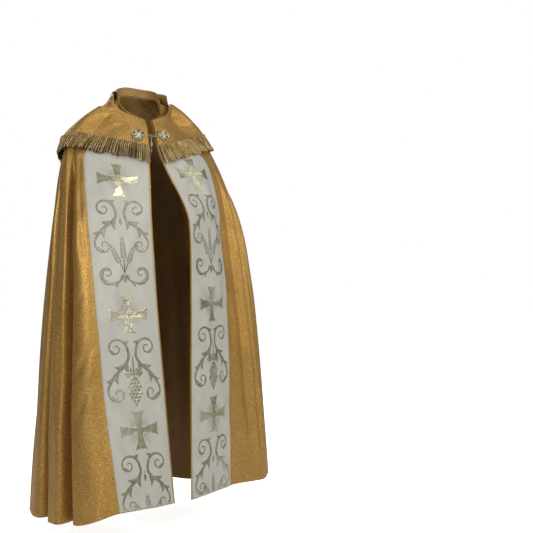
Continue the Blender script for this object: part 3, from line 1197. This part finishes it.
def column_at(grid, x):
    """A grid's column at the fractional index x."""
    k = int(min(max(x, 0), grid.shape[1] - 1.001))
    f = x - k
    return grid[:, k] * (1 - f) + grid[:, k + 1] * f


edge_arc = np.concatenate([[0.0], np.cumsum(np.linalg.norm(np.diff(hood[-1], axis=0), axis=1))])
STRAND_PITCH, STRAND_R, STRAND_SIDES, STRAND_RINGS = 0.0061, 0.00195, 8, 40
Layer = namedtuple("Layer", "name shift back size slot")
LAYERS = (Layer("front", 0.0, 0.0, 1.0, 0), Layer("behind", 0.5, 0.0017, 0.82, 1))


def strand(path, radius, turns, phase, tail):
    """A two-ply twisted strand along path, closed at its lower end by a small loop."""
    t = np.linspace(0, 1, STRAND_RINGS)
    seg = np.concatenate([[0.0], np.cumsum(np.linalg.norm(np.diff(path, axis=0), axis=1))])
    centre = np.stack([np.interp(t * seg[-1], seg, path[:, k]) for k in range(3)], -1)
    tangent = np.gradient(centre, axis=0)
    tangent /= np.linalg.norm(tangent, axis=1, keepdims=True)
    side = np.cross(tangent, np.array([0.0, 0.0, 1.0]) + 0.4 * path_out)
    side /= np.linalg.norm(side, axis=1, keepdims=True)
    front = np.cross(side, tangent)
    angle = 2 * math.pi * np.arange(STRAND_SIDES) / STRAND_SIDES
    twist = phase + turns * 2 * math.pi * t
    lobes = 1 + 0.30 * np.cos(2 * (angle[None, :] - twist[:, None]))
    taper = np.where(t > 0.94, 0.55 + 0.45 * (1 - t) / 0.06, 1.0)[:, None]
    r = radius * lobes * taper
    ring_points = (
        centre[:, None]
        + side[:, None] * (r * np.cos(angle))[..., None]
        + front[:, None] * (r * np.sin(angle))[..., None]
    )
    cap = centre[-1] + tangent[-1] * radius * 0.6
    return np.concatenate([ring_points.reshape(-1, 3), cap[None]])


index = np.arange(STRAND_RINGS * STRAND_SIDES).reshape(STRAND_RINGS, STRAND_SIDES)
wrap = np.concatenate([index, index[:, :1]], axis=1)
a, b, c, d = wrap[:-1, :-1], wrap[:-1, 1:], wrap[1:, 1:], wrap[1:, :-1]
strand_faces = np.stack([a, b, c, d], -1).reshape(-1, 4)
tip = STRAND_RINGS * STRAND_SIDES
cap_faces = np.stack([wrap[-1, :-1], wrap[-1, 1:], np.full(STRAND_SIDES, tip), np.full(STRAND_SIDES, tip)], -1)

for name, low, high in (("fringe_right", 0, middle), ("fringe_left", middle, len(hood_columns) - 1)):
    start, end = edge_arc[low] + 0.001, edge_arc[high] - 0.001
    places = [(layer, p + layer.shift * STRAND_PITCH) for layer in LAYERS for p in np.arange(start, end - STRAND_PITCH * layer.shift, STRAND_PITCH)]
    vertices, faces, triangles, slots = [], [], [], []
    sway = 0.0
    for k, (layer, place) in enumerate(places):
        x = float(np.interp(place, edge_arc, np.arange(len(edge_arc))))
        sway = 0.70 * sway + random.uniform(-0.0034, 0.0034)
        lot = random.random()
        tone = layer.slot or (2 if lot < 0.28 else 3 if lot > 0.80 else 0)
        from_column = min(max(x, low), high)
        top_points = column_at(lap_line, from_column)
        outs = column_at(lap_out, from_column)
        below = column_at(hang_line, from_column)[1:]
        below_out = column_at(hang_out, from_column)[1:]
        path_out = np.concatenate([outs[-2:], below_out]).mean(0)
        level_out = path_out * [1, 1, 0]
        level_out /= max(np.linalg.norm(level_out), 1e-9)
        # A strand follows the cloth where that falls outwards, and hangs plumb elsewhere.
        path = [p + n * 0.0020 for p, n in zip(top_points, outs)]
        for point, n in zip(below, below_out):
            point = point + n * 0.0018
            before = path[-1]
            inward = float(np.dot(point - before, level_out))
            if inward < 0:
                point = point - level_out * inward * 0.85
            path.append(point)
        path = np.array(path)
        drop = 1.0 + random.uniform(-0.11, 0.03)
        path[-1] = path[-2] + (path[-1] - path[-2]) * (1 + (drop - 1) * 5)
        along = hood[-1, min(int(from_column) + 1, len(hood_columns) - 1)] - hood[-1, int(from_column)]
        along /= max(np.linalg.norm(along), 1e-9)
        depth = random.uniform(-0.0006, 0.0020) - layer.back
        weight = np.linspace(0, 1, len(path))[:, None]
        path = path + along * (sway * weight**1.3) + level_out * depth * weight - level_out * layer.back * 0.5
        radius = STRAND_R * layer.size * random.uniform(0.80, 1.14)
        made = strand(path, radius, random.uniform(7.5, 9.5), random.uniform(0, 6.28), 0)
        base_index = k * (tip + 1)
        vertices.append(made)
        faces.append(strand_faces + base_index)
        triangles.append(cap_faces + base_index)
        slots += [tone]
    quads = np.concatenate(faces)
    caps = np.concatenate(triangles)[:, :3]
    vertices = np.concatenate(vertices)
    # Caps are triangles: split every quad so that all faces have three corners.
    tris = np.concatenate([quads[:, [0, 1, 2]], quads[:, [0, 2, 3]], caps])
    slots = np.array(slots)
    tri_slots = np.concatenate([np.repeat(slots, len(strand_faces)), np.repeat(slots, len(strand_faces)), np.repeat(slots, len(cap_faces))])
    obj = mesh_piece(name + "_strands", vertices, tris, [BULLION, BULLION_DEEP, BULLION_SHADE, BULLION_BRIGHT], None, tri_slots)
    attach(obj, "cope")
    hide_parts(name)
    # The woven header over the strands' heads.
    part = slice(low, high + 1)
    lap, lo = lap_line[:2, part], lap_out[:2, part]
    lap = np.stack([lap[0] * (1 - t) + lap[1] * t for t in (-0.4, 0.0, 0.35, 0.7)])
    lo = np.repeat(lo[:1], 4, axis=0)
    outer = lap + lo * np.array([0.0026, 0.0040, 0.0042, 0.0034])[:, None, None]
    inner = lap + lo * (GAP + 0.0004)
    uv = np.stack([lengths_round(outer), -lengths_down(outer)], -1)
    obj = shell(name + "_header", outer, inner, [HEADER], uv)
    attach(obj, "cope")

# ---------------------------------------------------------------- the collar band
collar_arcs = np.linspace(COLLAR_START, neck_level.length - COLLAR_START, 130)
seam_line = neck_level.points(collar_arcs, 0.0, False)
collar_out = neck_level.points(collar_arcs, 0.01, False) - seam_line
collar_out /= np.linalg.norm(collar_out, axis=1, keepdims=True)
collar_ends = np.minimum(collar_arcs - collar_arcs[0], collar_arcs[-1] - collar_arcs)
height = 0.004 + (COLLAR_HEIGHT - 0.004) * ease(collar_ends / 0.085)
up = np.array([0, 0, 1.0])
collar = np.array(
    [
        seam_line + up * 0.0005 + up * height[:, None] * k + collar_out * (0.002 * k + 0.0005 * math.sin(math.pi * k))
        for k in np.linspace(1, 0, 12)
    ]
)
uv = np.stack([lengths_round(collar), -lengths_down(collar)], -1)
obj = shell("collar_band_cloth", collar, collar - collar_out[None] * 0.0020, [GOLD, LINING], uv, 1)
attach(obj, "cope")
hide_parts("collar_band")

# ---------------------------------------------------------------- the clasp
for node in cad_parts:
    obj = bpy.data.objects.get(node if isinstance(node, str) else node["name"])
    if obj is None or not (obj.name.startswith("clasp") or obj.name.startswith("pendant")):
        continue
    for slot in obj.material_slots:
        slot.link = "OBJECT"
        slot.material = CAST

PLAQUE_WIDTH, PLAQUE_HEIGHT = 0.046, 0.040
PLAQUE_RINGS, PLAQUE_SPOKES = 54, 240
Plaque = namedtuple("Plaque", "name side x z")
PLAQUES = (Plaque("right", -1, -0.0490, -0.1155), Plaque("left", 1, 0.0360, -0.1110))


def hood_front(v, s, side):
    """The hood's face near its front edge, s in from the edge and v down."""
    level, lower_level = ring(v), ring(v + 0.01)
    arc = s if side < 0 else level.length - s
    lower_arc = s if side < 0 else lower_level.length - s
    point, before, after = level.points(np.array([arc, arc - 0.003, arc + 0.003]), 0.0, False)
    n = np.cross(after - before, lower_level.points(np.array([lower_arc]), 0.0, False)[0] - point)
    return point + n / np.linalg.norm(n) * HOOD_STAND_OFF


def plaque_outline(angle):
    return 1.0 + 0.085 * np.cos(3 * (angle + math.pi / 2)) + 0.030 * np.cos(15 * angle) - 0.03 * np.sin(angle)


def plaque_height(r, a):
    """The relief, in metres over the plaque's back: a scalloped rim, a ring of curled leaves over
    a sunk ground, and a rosette round a boss."""
    bead = np.exp(-(((r - 0.93) / 0.045) ** 2)) * (0.0040 + 0.0005 * np.cos(15 * a))
    groove = 0.0026 - 0.0006 * np.exp(-(((r - 0.82) / 0.03) ** 2))
    swirl = a + 1.5 * (r - 0.6)
    leaf = np.exp(-(((r - 0.66) / 0.105) ** 2)) * np.clip(np.cos(6 * swirl), -0.25, 1.0) * 0.0017
    vein = np.exp(-(((r - 0.66) / 0.09) ** 2)) * np.exp(-((np.mod(6 * swirl + math.pi, 2 * math.pi) - math.pi) / 0.22) ** 2) * -0.0006
    petal = np.where(r < 0.46, (1 - (r / 0.46) ** 2) ** 0.5, 0.0) * (0.0013 + 0.0009 * np.cos(8 * a)) * (r > 0.12)
    boss = 0.0022 * np.exp(-((r / 0.13) ** 2))
    return np.maximum(bead, groove + leaf + vein + petal + boss) * np.clip((1.0 - r) / 0.03 + 0.55, 0, 1)


for p in PLAQUES:
    best = min(
        ((v, s) for v in np.arange(0.06, 0.14, 0.002) for s in np.arange(0.01, 0.12, 0.002)),
        key=lambda vs: float(np.hypot(*(hood_front(vs[0], vs[1], p.side)[[0, 2]] - np.array([p.x, p.z])))),
    )
    centre = hood_front(*best, p.side)
    across = hood_front(best[0], best[1] + 0.004, p.side) - hood_front(best[0], best[1] - 0.004, p.side)
    down = hood_front(best[0] + 0.004, best[1], p.side) - hood_front(best[0] - 0.004, best[1], p.side)
    facing = np.cross(down, across)
    facing *= math.copysign(1.0, -facing[1]) / np.linalg.norm(facing)
    across = np.cross([0, 0, 1.0], facing) * -1
    across /= np.linalg.norm(across)
    rise_way = np.cross(facing, across)
    rise_way *= math.copysign(1.0, rise_way[2])
    across *= math.copysign(1.0, across[0])
    r = np.linspace(0, 1, PLAQUE_RINGS) ** 0.85
    a = 2 * math.pi * np.arange(PLAQUE_SPOKES) / PLAQUE_SPOKES
    rr, aa = np.meshgrid(r, a, indexing="ij")
    reach_out = plaque_outline(aa) * rr * 1.012
    height = plaque_height(rr, aa if p.side < 0 else math.pi - aa) + 0.0012
    height[-1] = 0.0004
    points = (
        centre
        + across * (PLAQUE_WIDTH / 2.15 * reach_out * np.cos(aa))[..., None]
        + rise_way * (PLAQUE_HEIGHT / 2.10 * reach_out * np.sin(aa))[..., None]
        + facing * (0.0009 + height)[..., None]
    )
    index = np.arange(PLAQUE_RINGS * PLAQUE_SPOKES).reshape(PLAQUE_RINGS, PLAQUE_SPOKES)
    index = np.concatenate([index, index[:, :1]], axis=1)
    quads = np.stack([index[:-1, :-1], index[1:, :-1], index[1:, 1:], index[:-1, 1:]], -1).reshape(-1, 4)
    if np.dot(np.cross(across, rise_way), facing) < 0:
        quads = quads[:, ::-1]
    sunk = (height[:-1] + height[1:]).ravel() / 2 < 0.0012 + 0.00265
    obj = mesh_piece(f"clasp_plaque_{p.name}_relief", points, quads, [CAST, CAST_SUNK], None, sunk.astype(int))
    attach(obj, "cope")

# ---------------------------------------------------------------- floor, light and camera
floor_nodes = Nodes("studio floor")
floor_nodes.set(Base_Color=(0.92, 0.92, 0.91), Roughness=0.85, Emission_Color=(1.0, 1.0, 0.99))
floor_nodes.join(floor_nodes.math("MULTIPLY", floor_nodes.node("ShaderNodeLightPath").outputs["Is Camera Ray"], 0.90), "Emission Strength")
floor_noise = floor_nodes.noise(floor_nodes.place(), 2.0, 2.0)
floor_nodes.join(floor_nodes.ramp(floor_noise, ((0.3, (0.915, 0.915, 0.91)), (0.7, (0.93, 0.93, 0.925)))), "Base Color")
count = 96
angle = 2 * math.pi * np.arange(count) / count
floor_vertices = [(0.0, 0.0, FLOOR_Z)] + [(14 * math.cos(a), 14 * math.sin(a), FLOOR_Z) for a in angle]
floor_faces = np.array([(0, k + 1, (k + 1) % count + 1) for k in range(count)])
floor = mesh_piece("studio_floor", np.array(floor_vertices), floor_faces, [floor_nodes.material], None, None, False)
floor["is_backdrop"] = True

world = bpy.data.worlds.new("studio")
bpy.context.scene.world = world
world.use_nodes = True
tree = world.node_tree
# The room as the cope sees it: dim below and behind, brighter overhead. The backdrop is white.
room = tree.nodes["Background"]
backdrop = tree.nodes.new("ShaderNodeBackground")
backdrop.inputs["Color"].default_value = (1.0, 1.0, 1.0, 1.0)
backdrop.inputs["Strength"].default_value = 1.0
sky = tree.nodes.new("ShaderNodeSeparateXYZ")
tree.links.new(tree.nodes.new("ShaderNodeTexCoord").outputs["Generated"], sky.inputs[0])
shade = tree.nodes.new("ShaderNodeValToRGB")
shade.color_ramp.elements[0].position, shade.color_ramp.elements[0].color = 0.30, (0.30, 0.30, 0.30, 1)
shade.color_ramp.elements[1].position, shade.color_ramp.elements[1].color = 0.85, (1.0, 1.0, 1.0, 1)
half = tree.nodes.new("ShaderNodeMath")
half.operation = "MULTIPLY_ADD"
half.inputs[1].default_value = half.inputs[2].default_value = 0.5
tree.links.new(sky.outputs["Z"], half.inputs[0])
tree.links.new(half.outputs[0], shade.inputs[0])
tree.links.new(shade.outputs[0], room.inputs["Color"])
room.inputs["Strength"].default_value = 0.15
seen = tree.nodes.new("ShaderNodeLightPath")
choose = tree.nodes.new("ShaderNodeMixShader")
tree.links.new(seen.outputs["Is Camera Ray"], choose.inputs[0])
tree.links.new(room.outputs[0], choose.inputs[1])
tree.links.new(backdrop.outputs[0], choose.inputs[2])
tree.links.new(choose.outputs[0], tree.nodes["World Output"].inputs["Surface"])


def area_light(name, place, target, width, height, power, colour=(1.0, 1.0, 1.0)):
    light = bpy.data.lights.new(name, "AREA")
    light.shape = "RECTANGLE"
    light.size, light.size_y = width, height
    light.energy = power
    light.color = colour
    obj = link(bpy.data.objects.new(name, light))
    obj.location = place
    direction = np.array(target) - np.array(place)

    obj.rotation_euler = Vector(direction).to_track_quat("-Z", "Y").to_euler()
    return obj


area_light("key", (-2.9, -2.5, 1.35), (0, -0.1, -0.5), 0.7, 0.9, 60, (1.0, 0.985, 0.96))
area_light("front", (0.7, -3.7, 1.5), (0, -0.1, -0.5), 0.8, 1.0, 52, (1.0, 0.985, 0.96))
area_light("side", (3.0, -2.0, 1.2), (0.0, -0.1, -0.5), 1.6, 2.0, 30, (1.0, 0.99, 0.97))
area_light("back left", (2.2, 3.0, 1.2), (0, 0, -0.6), 1.6, 2.0, 26)
area_light("back right", (0.2, 3.7, 1.4), (0, 0, -0.6), 1.6, 2.0, 34)
area_light("top", (0, -0.2, 3.0), (0, 0, -0.4), 1.6, 1.6, 18)

CAMERA_D, CAMERA_AZ, CAMERA_TURN = 3.0, 27.0, math.atan(129.5 / 930)
camera_data = bpy.data.cameras.new("camera")
camera_data.sensor_fit = "HORIZONTAL"
camera_data.sensor_width = 36.0
camera_data.lens = 930 / 533 * 36.0
camera = link(bpy.data.objects.new("camera", camera_data))
az = math.radians(CAMERA_AZ)
camera.location = (-CAMERA_D * math.sin(az), -CAMERA_D * math.cos(az), -0.52)
ahead = np.array([math.sin(az), math.cos(az), 0.0])
right = np.array([math.cos(az), -math.sin(az), 0.0])
look = ahead * math.cos(CAMERA_TURN) + right * math.sin(CAMERA_TURN)
camera.rotation_euler = (math.pi / 2, 0.0, math.atan2(-look[0], look[1]))
camera_data.clip_end = 60.0
bpy.context.scene.camera = camera
bpy.context.scene.view_settings.view_transform = "Standard"
bpy.context.scene.view_settings.look = "None"

# ---------------------------------------------------------------- the sheets
# Each piece of cloth as it was cut: width and length of the rectangle round its cut, and its area.
Cut = namedtuple("Cut", "piece width length area held on pieces")

low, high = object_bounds()
